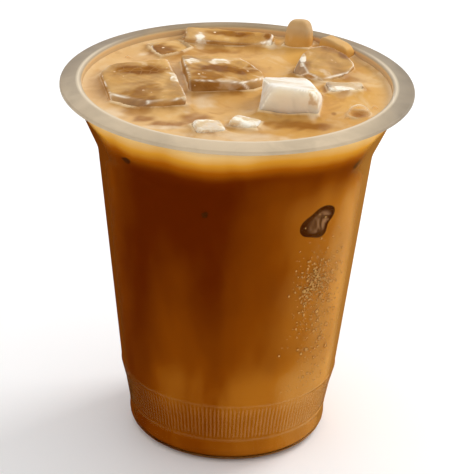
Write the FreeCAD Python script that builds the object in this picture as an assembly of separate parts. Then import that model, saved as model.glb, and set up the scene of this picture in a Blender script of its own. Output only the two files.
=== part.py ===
import FreeCAD, Part
import math
import os

# Iced milk coffee in a thin clear plastic cup with a wide flange, brimful,
# with ice that breaks the surface. Millimetres, +Z up. The origin is the
# centre of the foot, on the surface that the cup stands on.

# --- cup: overall sizes -------------------------------------------------
FLANGE_RADIUS = 47.5      # outer edge of the flange
FLANGE_Z = 102.0          # top of the flange's outer edge
WALL = 0.55               # side wall, neck and shoulder
FLOOR = 0.7               # flat bottom

# --- cup: flange --------------------------------------------------------
FLANGE_WIDTH = 4.9        # outer edge to crest
FLANGE_THICKNESS = 1.0
CREST_RISE = 0.9          # crest above the flange's outer edge
LIP_WIDTH = 0.5           # crest to the neck's outer face

# --- cup: side wall, downwards from the flange --------------------------
NECK_DEPTH = 6.2          # upright neck under the flange
FUNNEL_DEPTH = 10.9       # inward cone below the neck
FUNNEL_STEP = 4.8         # how far the cone comes in
BODY_TAPER = 7.2          # waist radius less shoulder radius
SHOULDER_STEP = 1.3       # how far the stacking shoulder comes in
BAND_TAPER = 1.2          # ribbed band, top radius less foot radius
HEEL_RADIUS = 3.8         # round between the band and the foot

# --- cup: heights above the table ----------------------------------------
SHOULDER_Z = 19.6         # upper edge of the stacking shoulder
BAND_TOP_Z = 14.6         # lower edge of the shoulder
BAND_FOOT_Z = 7.9         # lower edge of the ribbed band
FOOT_RING_WIDTH = 2.6     # flat ring that the cup stands on
FOOT_RECESS = 1.6         # bottom raised above the table
RECESS_RUN = 1.8          # slope between the foot ring and the raised bottom

# --- contents ------------------------------------------------------------
FREEBOARD = 1.7           # coffee level below the flange's outer edge
MENISCUS = 0.5            # rise of the coffee at the wall
MENISCUS_RUN = 1.3        # width of that rise
COFFEE_GAP = 0.05         # coffee to wall
ICE_GAP = 0.1             # ice to coffee
ICE_WALL_GAP = 0.6        # ice to wall
ICE_HEADROOM = 20.0       # room for ice above the flange
ICE_ROUND_LIMIT = 0.42    # most that an edge round takes of a side

# Each lump of ice: plan place, width and depth in surface radii, since the
# lumps are packed across the mouth; height, top above the coffee level and
# edge round in mm; turn and two leans in degrees; foot size over top size.
ICE = {
    "ice_left": ((-0.600, -0.085), (0.48, 0.70), 15.0, 3.4, 2.2, (13, 1, -3), 0.82),
    "ice_middle": ((-0.110, 0.155), (0.52, 0.54), 15.0, 3.8, 2.8, (8, -3, 4), 0.84),
    "ice_back": ((-0.075, 0.845), (0.62, 0.19), 11.0, 3.0, 1.4, (-2, 6, 2), 0.90),
    "ice_front": ((0.325, -0.300), (0.40, 0.36), 19.0, 7.6, 1.3, (-6, -9, 3), 0.86),
    "ice_right": ((0.535, 0.365), (0.37, 0.33), 13.0, 6.0, 1.2, (64, 17, -10), 0.88),
    "ice_tall": ((0.400, 0.810), (0.19, 0.15), 20.0, 7.8, 3.0, (-18, -4, 0), 0.94),
    "ice_rim": ((0.660, 0.690), (0.25, 0.14), 15.0, 4.4, 1.6, (-43, -6, 5), 0.90),
    "ice_shallow": ((-0.470, 0.660), (0.27, 0.26), 10.0, 1.0, 2.0, (30, 0, 3), 0.84),
    "ice_sliver": ((0.690, 0.035), (0.25, 0.13), 6.0, 1.7, 1.0, (10, 6, 4), 0.85),
    "ice_chip_left": ((-0.185, -0.705), (0.20, 0.17), 6.5, 2.4, 1.2, (20, 4, 6), 0.85),
    "ice_chip_right": ((0.050, -0.640), (0.19, 0.15), 6.5, 2.2, 1.2, (-15, -4, 5), 0.85),
}

# --- worked out from the above -------------------------------------------
CREST_RADIUS = FLANGE_RADIUS - FLANGE_WIDTH
CREST_Z = FLANGE_Z + CREST_RISE
NECK_RADIUS = CREST_RADIUS - LIP_WIDTH
NECK_Z = FLANGE_Z - NECK_DEPTH
WAIST_RADIUS = NECK_RADIUS - FUNNEL_STEP
WAIST_Z = NECK_Z - FUNNEL_DEPTH
SHOULDER_RADIUS = WAIST_RADIUS - BODY_TAPER
BAND_TOP_RADIUS = SHOULDER_RADIUS - SHOULDER_STEP
BAND_FOOT_RADIUS = BAND_TOP_RADIUS - BAND_TAPER
LEVEL_Z = FLANGE_Z - FREEBOARD
SURFACE_RADIUS = NECK_RADIUS - WALL - COFFEE_GAP
Z_AXIS = FreeCAD.Vector(0, 0, 1)


def at(radius, height):
    """A point of the half section, in the XZ plane."""
    return FreeCAD.Vector(radius, 0, height)


def line(start, end):
    """A straight edge of a half section."""
    return Part.LineSegment(start, end).toShape()


def arc(start, middle, end):
    """A round edge of a half section through three points."""
    return Part.Arc(start, middle, end).toShape()


def run(points):
    """Straight edges joining a row of points."""
    return [line(a, b) for a, b in zip(points[:-1], points[1:])]


def turn(edges):
    """The solid that a closed half section sweeps round the cup's axis."""
    face = Part.Face(Part.Wire(edges))
    return face.revolve(FreeCAD.Vector(0, 0, 0), Z_AXIS, 360)


def heel(inset, lift):
    """Foot end, middle and wall end of the heel's quarter round.

    inset takes it in from the outer face of the wall, and lift takes it up
    from the table, so that the inner faces use the same round."""
    radius = HEEL_RADIUS - inset
    centre_r = BAND_FOOT_RADIUS - HEEL_RADIUS
    centre_z = HEEL_RADIUS + lift - inset
    diagonal = radius * math.sqrt(0.5)
    foot = at(centre_r, centre_z - radius)
    middle = at(centre_r + diagonal, centre_z - diagonal)
    wall = at(centre_r + radius, centre_z)
    return foot, middle, wall


def side(inset):
    """Points of the side wall from the ribbed band up to the neck."""
    return [
        at(BAND_FOOT_RADIUS - inset, BAND_FOOT_Z),
        at(BAND_TOP_RADIUS - inset, BAND_TOP_Z),
        at(SHOULDER_RADIUS - inset, SHOULDER_Z),
        at(WAIST_RADIUS - inset, WAIST_Z),
        at(NECK_RADIUS - inset, NECK_Z),
    ]


def cup():
    """Thin wall turned in one piece: raised bottom, foot ring, heel, ribbed
    band, shoulder, tapered body, funnel, neck and crested flange."""
    foot_out, heel_out, wall_out = heel(0, 0)
    foot_in, heel_in, wall_in = heel(WALL, FLOOR)
    ring_in = foot_out.x - FOOT_RING_WIDTH
    recess = ring_in - RECESS_RUN
    under = [at(0, FOOT_RECESS), at(recess, FOOT_RECESS), at(ring_in, 0), foot_out]
    floor = [at(0, FOOT_RECESS + FLOOR), at(recess, FOOT_RECESS + FLOOR), at(ring_in, foot_in.z), foot_in]
    underside = FLANGE_Z - FLANGE_THICKNESS
    edge_mid = at(FLANGE_RADIUS, FLANGE_Z - FLANGE_THICKNESS / 2)
    edge_in = FLANGE_RADIUS - FLANGE_THICKNESS / 2
    crest = at(CREST_RADIUS, CREST_Z)
    lip = at(NECK_RADIUS - WALL, CREST_Z - LIP_WIDTH)
    lip_mid = at((crest.x + lip.x) / 2 - LIP_WIDTH / 4, CREST_Z - LIP_WIDTH / 4)

    edges = run(under) + [arc(foot_out, heel_out, wall_out)]
    edges += run([wall_out] + side(0) + [at(NECK_RADIUS, underside), at(edge_in, underside)])
    edges += [arc(at(edge_in, underside), edge_mid, at(edge_in, FLANGE_Z))]
    edges += [line(at(edge_in, FLANGE_Z), crest), arc(crest, lip_mid, lip)]
    edges += run([lip] + side(WALL)[::-1] + [wall_in]) + [arc(wall_in, heel_in, foot_in)]
    edges += run(floor[::-1]) + [line(floor[0], under[0])]
    return turn(edges)


def contents(gap, top_edges):
    """Solid inside the wall, gap clear of it, closed above by top_edges,
    which run from the wall to the axis."""
    foot, middle, wall = heel(WALL + gap, FLOOR + gap)
    ring_in = heel(0, 0)[0].x - FOOT_RING_WIDTH
    floor_z = FOOT_RECESS + FLOOR + gap
    floor = [at(0, floor_z), at(ring_in - RECESS_RUN, floor_z), at(ring_in, foot.z), foot]
    edges = run(floor) + [arc(foot, middle, wall)]
    edges += run([wall] + side(WALL + gap) + [top_edges[0].Vertexes[0].Point])
    edges += top_edges
    edges += [line(top_edges[-1].Vertexes[-1].Point, floor[0])]
    return turn(edges)


def coffee_body():
    """Coffee up to its level, with the meniscus where it meets the wall."""
    high = at(SURFACE_RADIUS, LEVEL_Z + MENISCUS)
    middle = at(SURFACE_RADIUS - MENISCUS_RUN / 3, LEVEL_Z + MENISCUS / 3)
    low = at(SURFACE_RADIUS - MENISCUS_RUN, LEVEL_Z)
    return contents(COFFEE_GAP, [arc(high, middle, low), line(low, at(0, LEVEL_Z))])


def ice_room():
    """Space that the ice may take: inside the wall and on above the flange."""
    top = FLANGE_Z + ICE_HEADROOM
    radius = NECK_RADIUS - WALL - ICE_WALL_GAP
    return contents(ICE_WALL_GAP, [line(at(radius, top), at(0, top))])


def rectangle(width, depth, height):
    """A closed rectangle about the Z axis, flat at a height."""
    corners = [(-1, -1), (1, -1), (1, 1), (-1, 1), (-1, -1)]
    points = [FreeCAD.Vector(x * width / 2, y * depth / 2, height) for x, y in corners]
    return Part.makePolygon(points)


def lump(name, grow):
    """One rounded block of ice, larger by grow on every side.

    It is a block that narrows towards its foot, with round edges, turned
    and leant, with its top a stated height above the coffee."""
    (x, y), (width, depth), height, proud, edge_round, (yaw, lean_x, lean_y), foot = ICE[name]
    wide = width * SURFACE_RADIUS
    deep = depth * SURFACE_RADIUS
    lower = rectangle(wide * foot + 2 * grow, deep * foot + 2 * grow, -height / 2 - grow)
    upper = rectangle(wide + 2 * grow, deep + 2 * grow, height / 2 + grow)
    block = Part.makeLoft([lower, upper], True, True)
    widest_round = ICE_ROUND_LIMIT * foot * min(wide, deep, height)
    block = block.makeFillet(min(edge_round, widest_round) + grow, block.Edges)
    spin = FreeCAD.Rotation(yaw, lean_y, lean_x)
    reach = Part.Shape(block)
    reach.Placement = FreeCAD.Placement(FreeCAD.Vector(0, 0, 0), spin)
    place = FreeCAD.Vector(
        x * SURFACE_RADIUS,
        y * SURFACE_RADIUS,
        LEVEL_Z + proud + grow - reach.optimalBoundingBox().ZMax,
    )
    block.Placement = FreeCAD.Placement(place, spin)
    return block


def main():
    os.makedirs("parts", exist_ok=True)
    room = ice_room()
    solids = {name: lump(name, 0).common(room) for name in ICE}
    pockets = [lump(name, ICE_GAP) for name in ICE]
    solids["cup"] = cup()
    solids["coffee"] = coffee_body().cut(pockets)
    for name, shape in solids.items():
        solid = shape.Solids[0]
        solid.exportStep("parts/" + name + ".step")
        print(name, "solids", len(shape.Solids), "valid", solid.isValid(), "ml %.2f" % (solid.Volume / 1000))


main()
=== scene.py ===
"""Iced milk coffee in a thin clear plastic cup, brimful, with ice that breaks the surface."""
import math
from collections import namedtuple

import bpy
import numpy as np
from bpy.props import FloatProperty, FloatVectorProperty, IntProperty, PointerProperty
from mathutils import Matrix, Vector


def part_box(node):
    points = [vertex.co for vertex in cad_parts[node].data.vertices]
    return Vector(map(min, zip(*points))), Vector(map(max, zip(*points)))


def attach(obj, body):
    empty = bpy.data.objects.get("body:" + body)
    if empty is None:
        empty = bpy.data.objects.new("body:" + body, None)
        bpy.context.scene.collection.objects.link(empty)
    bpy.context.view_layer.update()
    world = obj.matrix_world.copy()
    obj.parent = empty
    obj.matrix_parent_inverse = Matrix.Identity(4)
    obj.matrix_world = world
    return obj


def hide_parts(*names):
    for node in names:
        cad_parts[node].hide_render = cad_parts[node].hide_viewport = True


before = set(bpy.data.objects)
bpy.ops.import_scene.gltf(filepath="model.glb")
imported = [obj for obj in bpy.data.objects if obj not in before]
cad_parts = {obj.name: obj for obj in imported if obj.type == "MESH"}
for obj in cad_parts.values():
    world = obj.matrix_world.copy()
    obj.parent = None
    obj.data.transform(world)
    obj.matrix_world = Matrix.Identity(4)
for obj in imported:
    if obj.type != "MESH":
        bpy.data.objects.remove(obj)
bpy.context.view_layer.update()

bl_info = {
    "name": "Iced coffee",
    "version": (1, 0, 0),
    "blender": (4, 5, 0),
    "location": "3D View > Sidebar > Iced coffee",
    "description": "Builds a cup of iced milk coffee round its packed frame",
    "category": "Add Mesh",
}

MM = 0.001
BODY = "root"

# --- the cup's section, in metres; heights are above the table ------------
FLANGE_RADIUS = 47.5 * MM
CREST_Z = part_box("cup")[1][2]
FLANGE_Z = CREST_Z - 0.9 * MM
WALL = 0.55 * MM
FLOOR = 0.7 * MM
CREST_RADIUS = FLANGE_RADIUS - 4.9 * MM
NECK_RADIUS = CREST_RADIUS - 0.5 * MM
NECK_Z = FLANGE_Z - 6.2 * MM
WAIST_RADIUS = NECK_RADIUS - 4.8 * MM
WAIST_Z = NECK_Z - 10.9 * MM
SHOULDER_RADIUS = WAIST_RADIUS - 7.2 * MM
SHOULDER_Z = 19.6 * MM
BAND_TOP_RADIUS = SHOULDER_RADIUS - 1.3 * MM
BAND_TOP_Z = 14.6 * MM
BAND_FOOT_RADIUS = BAND_TOP_RADIUS - 1.2 * MM
BAND_FOOT_Z = 7.9 * MM
HEEL_RADIUS = 3.8 * MM
FOOT_RADIUS = BAND_FOOT_RADIUS - HEEL_RADIUS
FOOT_RING_WIDTH = 2.6 * MM
FOOT_RECESS = 1.6 * MM
RECESS_RUN = 1.8 * MM
FLANGE_THICKNESS = 1.0 * MM
HEEL_POINTS = 7
SECTION_STEP = 0.06 * MM

# --- the lower band: upright ribs between two beads --------------------------
RIB_FOOT_Z = 8.3 * MM
RIB_TOP_Z = 18.6 * MM
RIB_TAPER = 0.5 * MM
RIB_SQUARENESS = 2.0
RIB_PHASE = 0.8
BEAD_HEIGHTS = (7.6 * MM, 19.3 * MM)
BEAD_WIDTH = 0.42 * MM
BEAD_RELIEF = 0.20 * MM
RIB_HAZE, BEAD_HAZE = 0.7, 0.6
BAND_STATIONS = [z + d * MM for z in BEAD_HEIGHTS for d in (-0.9, -0.45, 0, 0.45, 0.8)]
BAND_STATIONS += [RIB_FOOT_Z + RIB_TAPER, RIB_TOP_Z - RIB_TAPER]

# --- how far each corner's rounding reaches along the section ------------------
SHARP = 0.02 * MM
FOOT_ROUNDS = [0.5 * MM, 0.3 * MM]
HEEL_ROUNDS = [SHARP] * HEEL_POINTS
SIDE_ROUNDS = [0.5 * MM, 0.8 * MM, 1.3 * MM, 2.2 * MM, 1.6 * MM]
FLANGE_ROUNDS = [0.6 * MM, 0.30 * MM, 0.45 * MM, 0.8 * MM, 0.4 * MM]

# --- the coffee -------------------------------------------------------------
LEVEL_Z = FLANGE_Z - 1.7 * MM
MENISCUS = 0.5 * MM
INTO_WALL = 0.12 * MM     # how far the coffee's skin reaches into the wall
SURFACE_RADIUS = NECK_RADIUS - WALL
ICE_WALL_GAP = 0.25 * MM
ICE_BED = 0.5 * MM        # how far a lump sinks into the pocket that holds it
POCKET_TO_WALL = 0.8 * MM
ICE_CLIMB, ICE_CLIMB_VARIES = 0.9, 0.7
ICE_CLIMB_REACH = 1.1 * MM
ICE_SHADE_REACH = 2.4 * MM
WALL_CLIMB_REACH = 0.6 * MM
FOAM_REACH = 1.6 * MM
DENT_RADIUS = 1.5 * MM
DENT_DEPTH = 0.5 * MM
RING_WIDTH = 0.42 * MM
RING_HEIGHT = 0.4 * MM
SURFACE_WAVES = [(0.09 * MM, 9 * MM, 31), (0.05 * MM, 3.5 * MM, 32)]
SURFACE_RINGS = 170
COFFEE_COLUMNS = 420

# --- the ice: width, depth and height in millimetres, foot over top size, turn
# and leans in degrees, number of chips, sharpness of the edges, shares from 0
# to 1 of cloudy and of clear ice, and the seed of its chips and melting -----
Lump = namedtuple("Lump", "size foot turns chips sharpness milkiness clearness seed")
ICE = {
    "ice_left": Lump((19.8, 28.9, 15.0), 0.82, (13, 1, -3), 6, 20, 0.0, 0.12, 3),
    "ice_middle": Lump((21.5, 22.3, 15.0), 0.84, (8, -3, 4), 9, 18, 0.0, 0.18, 8),
    "ice_back": Lump((25.6, 7.8, 11.0), 0.90, (-2, 6, 2), 5, 14, 0.0, 0.10, 5),
    "ice_front": Lump((16.5, 14.9, 19.0), 0.86, (-6, -9, 3), 7, 24, 0.85, 0.14, 12),
    "ice_right": Lump((15.3, 13.6, 13.0), 0.88, (64, 17, -10), 7, 20, 0.10, 0.16, 21),
    "ice_tall": Lump((7.8, 6.2, 20.0), 0.94, (-18, -4, 0), 0, 3.4, 0.0, 0.0, 2),
    "ice_rim": Lump((10.3, 5.8, 15.0), 0.90, (-43, -6, 5), 2, 10, 0.0, 0.0, 4),
    "ice_shallow": Lump((11.2, 10.7, 10.0), 0.84, (30, 0, 3), 5, 10, 0.0, 0.10, 6),
    "ice_sliver": Lump((10.3, 5.4, 6.0), 0.85, (10, 6, 4), 5, 14, 0.55, 0.20, 17),
    "ice_chip_left": Lump((8.2, 7.0, 6.5), 0.85, (20, 4, 6), 4, 7, 0.50, 0.10, 9),
    "ice_chip_right": Lump((7.8, 6.2, 6.5), 0.85, (-15, -4, 5), 4, 7, 0.65, 0.10, 10),
}
COATED_ICE = ("ice_tall", "ice_rim")
CHIP_TILT = (0.25, 1.0)
CHIP_DISTANCE = (0.74, 0.9)
BROAD_MELT = 0.34
FINE_MELT = 0.14

# --- dark and pale patches of the ice and of the surface between: the dark
# ones painted shade, the pale ones painted highlights and milky patches; in
# millimetres: place from the axis, half width, half depth, and strength ----
DARK_SEED, PALE_SEED = 61, 62
PATCH_BEND = 0.45
PATCH_WAVE = 4.5 * MM
PAINTED_SHADE_PATCHES = [
    (-26, 3.5, 8, 3.5, 1.0), (-26, -15.5, 5.5, 9, 0.6), (-22, -10, 3, 5, 0.5),
    (-4, 6.5, 10, 4, 0.9), (-8, -1, 6, 6.5, 0.7), (0, -3.5, 3, 2.5, 0.6), (3.5, 9.5, 3, 3, 0.8),
    (-17, -27, 5.5, 2.8, 1.0), (-24, -23.5, 3.5, 2.5, 1.0), (-10.5, -22.5, 4.2, 4.5, 1.0),
    (16.5, -24.5, 10.5, 3.2, 1.0), (-21.5, 25.5, 5, 5, 0.8), (-6.5, 27.5, 7, 2, 0.8),
    (30, 19, 3.5, 3, 1.0), (25, 20, 4, 3, 0.8), (17, 11, 3, 4, 0.7), (24, 0, 1.5, 2.5, 1.0),
    (8, 35, 1.5, 2.5, 0.9), (-2, 35.5, 7, 2, 0.8), (32, -15.5, 2.6, 3.0, 1.0),
    (25.5, -15.7, 0.7, 1.1, 1.0), (31, 9, 4, 2, 0.8),
]
MILK_AND_HIGHLIGHT_PATCHES = [
    (-16.5, -1, 1.6, 6, 1.0), (-13, -12, 1.4, 6.5, 1.0), (-19.5, -29, 6, 1.3, 1.0),
    (-12, 12, 2.5, 2.5, 1.0), (-6, 12.5, 3.3, 2, 1.0), (-8.5, -11, 3.5, 5, 1.0),
    (-11, 31.5, 1.6, 3, 1.0), (9, 31.5, 1.6, 2.5, 1.0), (17.5, 12, 0.8, 4, 1.0),
    (21.5, 4.5, 2.2, 2, 1.0), (28, -1.5, 3.2, 3, 1.0), (-26.5, 23.5, 1.6, 1.2, 1.0),
    (-32.5, -22, 4, 5, 1.0), (0, -34, 16, 3.5, 1.0), (20, -19, 1.5, 3, 1.0),
    (-7.5, -29.5, 5.5, 6.0, 0.75), (2.5, -27.0, 5.5, 5.5, 0.8),
]

# --- bubbles on the surface: place from the axis and radius, millimetres ------
BUBBLE_FLATNESS = 0.85
BUBBLES = np.array([
    (32.1, -15.6, 3.1), (-14.0, 31.6, 1.5), (-15.2, 34.4, 1.1), (-12.4, 29.4, 0.7), (36.4, -11.0, 0.8),
    (28.9, -18.6, 0.7), (35.6, -18.0, 0.5), (-30.5, 20.5, 0.7), (-33.5, -12.0, 0.6), (22.6, -4.4, 0.7),
])

# --- ice that touches the wall below the level: angle from the front in
# radians, height, width and tallness in millimetres, and seed ---------------
SUNK_ICE = [
    (0.68, 74.4, 14.2, 12.2, 41),
    (-0.20, 79.0, 2.3, 2.6, 42),
    (-0.80, 90.0, 4.6, 2.6, 43),
    (0.98, 88.5, 3.8, 3.6, 44),
    (2.3, 70.0, 9.0, 7.0, 45),
    (-2.2, 78.0, 6.0, 8.0, 46),
]
PALE_INSIDE_WIDTH = 5     # wider ones show ice in their middle
LENS_HALF = 0.16 * MM
LENS_INSET = 0.05 * MM

# --- drops on the wall: the patch of fine ones, as angles from the front, and
# the larger ones, as such an angle and a height in millimetres --------------
# Angles and heights are the middle and spread of a bell curve; sizes are shares
# of the largest drop.
DENSE_ANGLE, LOOSE_ANGLE = (0.74, 0.10), (0.80, 0.17)
DENSE_HEIGHT, LOOSE_HEIGHT = (56, 3.6), (47, 11)
FINE_SIZE, FINE_SIZE_GAIN = 0.20, 0.45
BIG_SIZE = (0.75, 1.0)
PATCH_ANGLE = 0.78
PATCH_LIMIT = 0.36
DENSE_SHARE = 0.45
DROP_FLATNESS = 0.45
BIG_DROPS = [
    (0.62, 54.0), (0.81, 50.5), (0.79, 46.0), (0.95, 40.0), (0.73, 34.5), (1.0, 32.5),
    (0.88, 36.5), (0.74, 57.5),
]


# === meshes ===================================================================

def mesh_object(name, points, quads, triangles=None, slots=None, **marks):
    """An object from arrays: points (n, 3), quads (m, 4), triangles (k, 3),
    the material index of each face, quads first, and further numbers for
    each point, which materials read by name. Faces are smooth."""
    triangles = np.zeros((0, 3), int) if triangles is None else triangles
    corners = np.concatenate([quads.ravel(), triangles.ravel()]).astype(np.int32)
    quad_starts = np.arange(len(quads)) * 4
    starts = np.concatenate([quad_starts, len(quads) * 4 + np.arange(len(triangles)) * 3])
    mesh = bpy.data.meshes.new(name)
    mesh.vertices.add(len(points))
    mesh.vertices.foreach_set("co", np.asarray(points, np.float32).ravel())
    mesh.loops.add(len(corners))
    mesh.loops.foreach_set("vertex_index", corners)
    mesh.polygons.add(len(starts))
    mesh.polygons.foreach_set("loop_start", starts.astype(np.int32))
    mesh.polygons.foreach_set("use_smooth", np.ones(len(starts), bool))
    if slots is not None:
        mesh.polygons.foreach_set("material_index", np.asarray(slots, np.int32))
    for mark, values in marks.items():
        stored = mesh.attributes.new(mark, "FLOAT", "POINT")
        stored.data.foreach_set("value", values.astype(np.float32))
    mesh.update(calc_edges=True)
    made = bpy.data.objects.new(name, mesh)
    bpy.context.scene.collection.objects.link(made)
    return made


def ring_quads(rows, columns, first=0):
    """Quads of a grid whose columns close on themselves, as indices into
    points numbered row by row from first."""
    row = np.arange(rows - 1)[:, None] * columns
    here = np.arange(columns)[None, :]
    after = (here + 1) % columns
    corners = [row + here, row + after, row + columns + after, row + columns + here]
    return first + np.stack(corners, -1).reshape(-1, 4)


def grid_values(values):
    """The numbers of a (rows, columns) grid in the order of closed_grid."""
    return np.concatenate([values[1:-1].ravel(), values[:1, 0], values[-1:, 0]])


def closed_grid(grid):
    """Points, quads and triangles of a surface given as rows of rings, with
    each end row a single point: (rows, columns, 3) to a closed skin."""
    rows, columns = grid.shape[:2]
    inner = grid[1:-1].reshape(-1, 3)
    points = np.concatenate([inner, grid[:1, 0], grid[-1:, 0]])
    quads = ring_quads(rows - 2, columns)
    here = np.arange(columns)
    after = (here + 1) % columns
    first, last = len(inner), len(inner) + 1
    bottom = np.stack([np.full(columns, first), after, here], -1)
    offset = (rows - 3) * columns
    top = np.stack([np.full(columns, last), offset + here, offset + after], -1)
    return points, quads, np.concatenate([bottom, top])


def rounded(points, reach, steps=5):
    """A line through points with its corners rounded: each corner becomes a
    quadratic Bezier curve that starts and ends reach before and after it."""
    points = np.asarray(points, float)
    reach = np.asarray(reach, float)[:, None]
    before = points[1:-1] - points[:-2]
    after = points[2:] - points[1:-1]
    before /= np.linalg.norm(before, axis=1)[:, None]
    after /= np.linalg.norm(after, axis=1)[:, None]
    t = np.linspace(0, 1, steps)[None, :, None]
    start = (points[1:-1] - before * reach)[:, None]
    end = (points[1:-1] + after * reach)[:, None]
    corner = points[1:-1][:, None]
    curve = (1 - t) ** 2 * start + 2 * t * (1 - t) * corner + t**2 * end
    return np.concatenate([points[:1], curve.reshape(-1, 2), points[-1:]])


def merged(line, step):
    """The same line without points closer than step to the one before."""
    length = np.concatenate([[0], np.cumsum(np.linalg.norm(np.diff(line, axis=0), axis=1))])
    stations = length[np.unique(np.round(length / step), return_index=True)[1]]
    return np.stack([np.interp(stations, length, line[:, k]) for k in (0, 1)], -1)


def turned(section, columns):
    """Grid of a section (radius, height) turned round the Z axis."""
    angle = np.linspace(0, 2 * np.pi, columns, endpoint=False)
    radius, height = section[:, :1], section[:, 1:]
    spread = np.broadcast_to(height, (len(section), columns))
    return np.stack([radius * np.cos(angle), radius * np.sin(angle), spread], -1)


def waves(points, wavelength, seed, count=7):
    """Smooth random relief from -1 to 1: the mean of count sine waves whose
    directions and phases are drawn from seed, about wavelength long."""
    rng = np.random.default_rng(seed)
    heading = rng.normal(size=(count, 3))
    heading /= np.linalg.norm(heading, axis=1)[:, None]
    number = 2 * np.pi / (wavelength * rng.uniform(0.6, 1.6, count))
    phase = rng.uniform(0, 2 * np.pi, count)
    total = sum(
        np.sin(points @ (direction * k) + shift)
        for direction, k, shift in zip(heading, number, phase)
    )
    return total / count


def patch_share(points, patches, seed):
    """How far each point is inside a patch: the patch's strength well inside
    its ellipse in plan, 0 well outside it, its outline bent by waves."""
    share = np.zeros(points.shape[:-1])
    bend = PATCH_BEND * waves(points, PATCH_WAVE, seed)
    for x, y, half_x, half_y, strength in patches:
        across = (points[..., 0] - x * MM) / (half_x * MM)
        along = (points[..., 1] - y * MM) / (half_y * MM)
        inside = 1 - smooth_step(np.hypot(across, along) + bend, 0.40, 1.30)
        share = np.maximum(share, strength * inside)
    return share


def smooth_step(value, low, high):
    """0 below low, 1 above high, and a cubic between."""
    t = np.clip((value - low) / (high - low), 0, 1)
    return t * t * (3 - 2 * t)


def side_line(inset):
    """Section points of the wall from the heel to the neck, inset from the
    outer face."""
    return [
        (BAND_FOOT_RADIUS - inset, BAND_FOOT_Z),
        (BAND_TOP_RADIUS - inset, BAND_TOP_Z),
        (SHOULDER_RADIUS - inset, SHOULDER_Z),
        (WAIST_RADIUS - inset, WAIST_Z),
        (NECK_RADIUS - inset, NECK_Z),
    ]


def heel_line(inset, lift):
    """The heel's quarter round, from the foot to the wall."""
    angle = np.linspace(-np.pi / 2, 0, HEEL_POINTS)
    radius = HEEL_RADIUS - inset
    centre_z = HEEL_RADIUS + lift - inset
    return list(zip(FOOT_RADIUS + radius * np.cos(angle), centre_z + radius * np.sin(angle)))


def wall_radius(height, inset=0.0):
    """Radius of the wall's outer face at a height, less inset."""
    line = np.array(heel_line(0, 0) + side_line(0) + [(NECK_RADIUS, FLANGE_Z)])
    return np.interp(height, line[:, 1], line[:, 0]) - inset


def wall_height(radius):
    """Height at which the wall's outer face has a radius, up to the neck."""
    line = np.array(side_line(0))
    return np.interp(radius, line[:, 0], line[:, 1])


# === materials =================================================================

# Where a finish changes, from and to, in metres ------------------------------
FOG_ACROSS = (6 * MM, 36 * MM)
FOG_DOWN = (88 * MM, 74 * MM)
FLANGE_UP = (FLANGE_Z - 3.5 * MM, FLANGE_Z - 0.9 * MM)
BASE_DOWN = (2.2 * MM, 0.8 * MM)
NECK_TO_FLANGE = (NECK_Z, FLANGE_Z - 1.5 * MM)
RIBS_ACROSS = (-12 * MM, 18 * MM)
OUTLINE_DOWN = (LEVEL_Z - 2 * MM, LEVEL_Z - 6 * MM)
OUTLINE_ACROSS = (-10 * MM, 20 * MM)
FLANGE_FRONT = (12 * MM, -36 * MM)
FLANGE_RIGHT = (30 * MM, 44 * MM)
FLANGE_BACK = (22 * MM, 42 * MM)
LIP_BACK = (10 * MM, 36 * MM)
PALER_RIGHT = (-5 * MM, 37 * MM)
PALER_LEFT = (-22 * MM, -36 * MM)
BELOW_GLOW = (LEVEL_Z - 9 * MM, LEVEL_Z - 24 * MM)
PALER_BELOW = (80 * MM, 22 * MM)
BELOW_FROM_LEFT = (-30 * MM, -12 * MM)
BELOW_TO_RIGHT = (-4 * MM, 22 * MM)
MILK_TOP = (34 * MM, 24 * MM)
MILK_FOOT = (12 * MM, 20 * MM)
GLOW_RIGHT = (8 * MM, 26 * MM)
GLOW_LEFT = (-16 * MM, -26 * MM)
GLOW_DOWN = (13.5 * MM, 7 * MM)
GLOW_REACH = 12.8 * MM
GLOW_MORE_RIGHT = 2.7 * MM
GLOW_MORE_LEFT = 1.8 * MM
GLOW_UNEVEN = 1.4 * MM
SURFACE_ACROSS = (-30 * MM, 30 * MM)
ICE_DRY = (LEVEL_Z + 0.6 * MM, LEVEL_Z + 2.4 * MM)
CLOUDY_DRY = (LEVEL_Z + 0.5 * MM, LEVEL_Z + 2.5 * MM)
COAT_DOWN = (LEVEL_Z + 5.5 * MM, LEVEL_Z + 2.5 * MM)

# Height of the fine relief that breaks up each shine ---------------------------
PLASTIC_RIPPLE = 0.05 * MM
COFFEE_RIPPLE = 0.10 * MM
ICE_RELIEF = 0.04 * MM
COAT_RELIEF = 0.08 * MM

# Colours with one use each, as linear red, green and blue --------------------
LIP_GLARE = (0.78, 0.65, 0.47)
LIP_FILM_PAINTED_LIGHT = (0.76, 0.50, 0.23)
RIBS_LEFT = (0.58, 0.29, 0.065)
RIBS_RIGHT = (0.88, 0.60, 0.27)
CUP_BASE = (0.26, 0.085, 0.010)
SWIRL_DEEP = (0.50, 0.235, 0.050)
POOL = (0.52, 0.25, 0.055)
MILK_AND_HIGHLIGHT_COLOUR = (0.76, 0.56, 0.34)
WATERLINE_HIGHLIGHT = (0.80, 0.61, 0.36)
ICE_INSIDE_LIGHT = (0.50, 0.26, 0.075)
ICE_CRACK = (0.66, 0.44, 0.20)
ICE_SPARKLE = (0.92, 0.76, 0.52)
CLOUD_MIDDLE = (0.80, 0.71, 0.57)
CLOUD_STREAK = (0.92, 0.88, 0.80)
COAT_DARK = (0.50, 0.31, 0.135)
COAT_EDGE_HIGHLIGHT = (0.60, 0.44, 0.26)
SUNK_RIM = (0.060, 0.014, 0.002)
SUNK_MIDDLE = (0.34, 0.17, 0.075)
BUBBLE_SKIN = (0.84, 0.63, 0.36, 1)
DROP_MIDDLE_HIGHLIGHT = (0.84, 0.48, 0.15)
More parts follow.
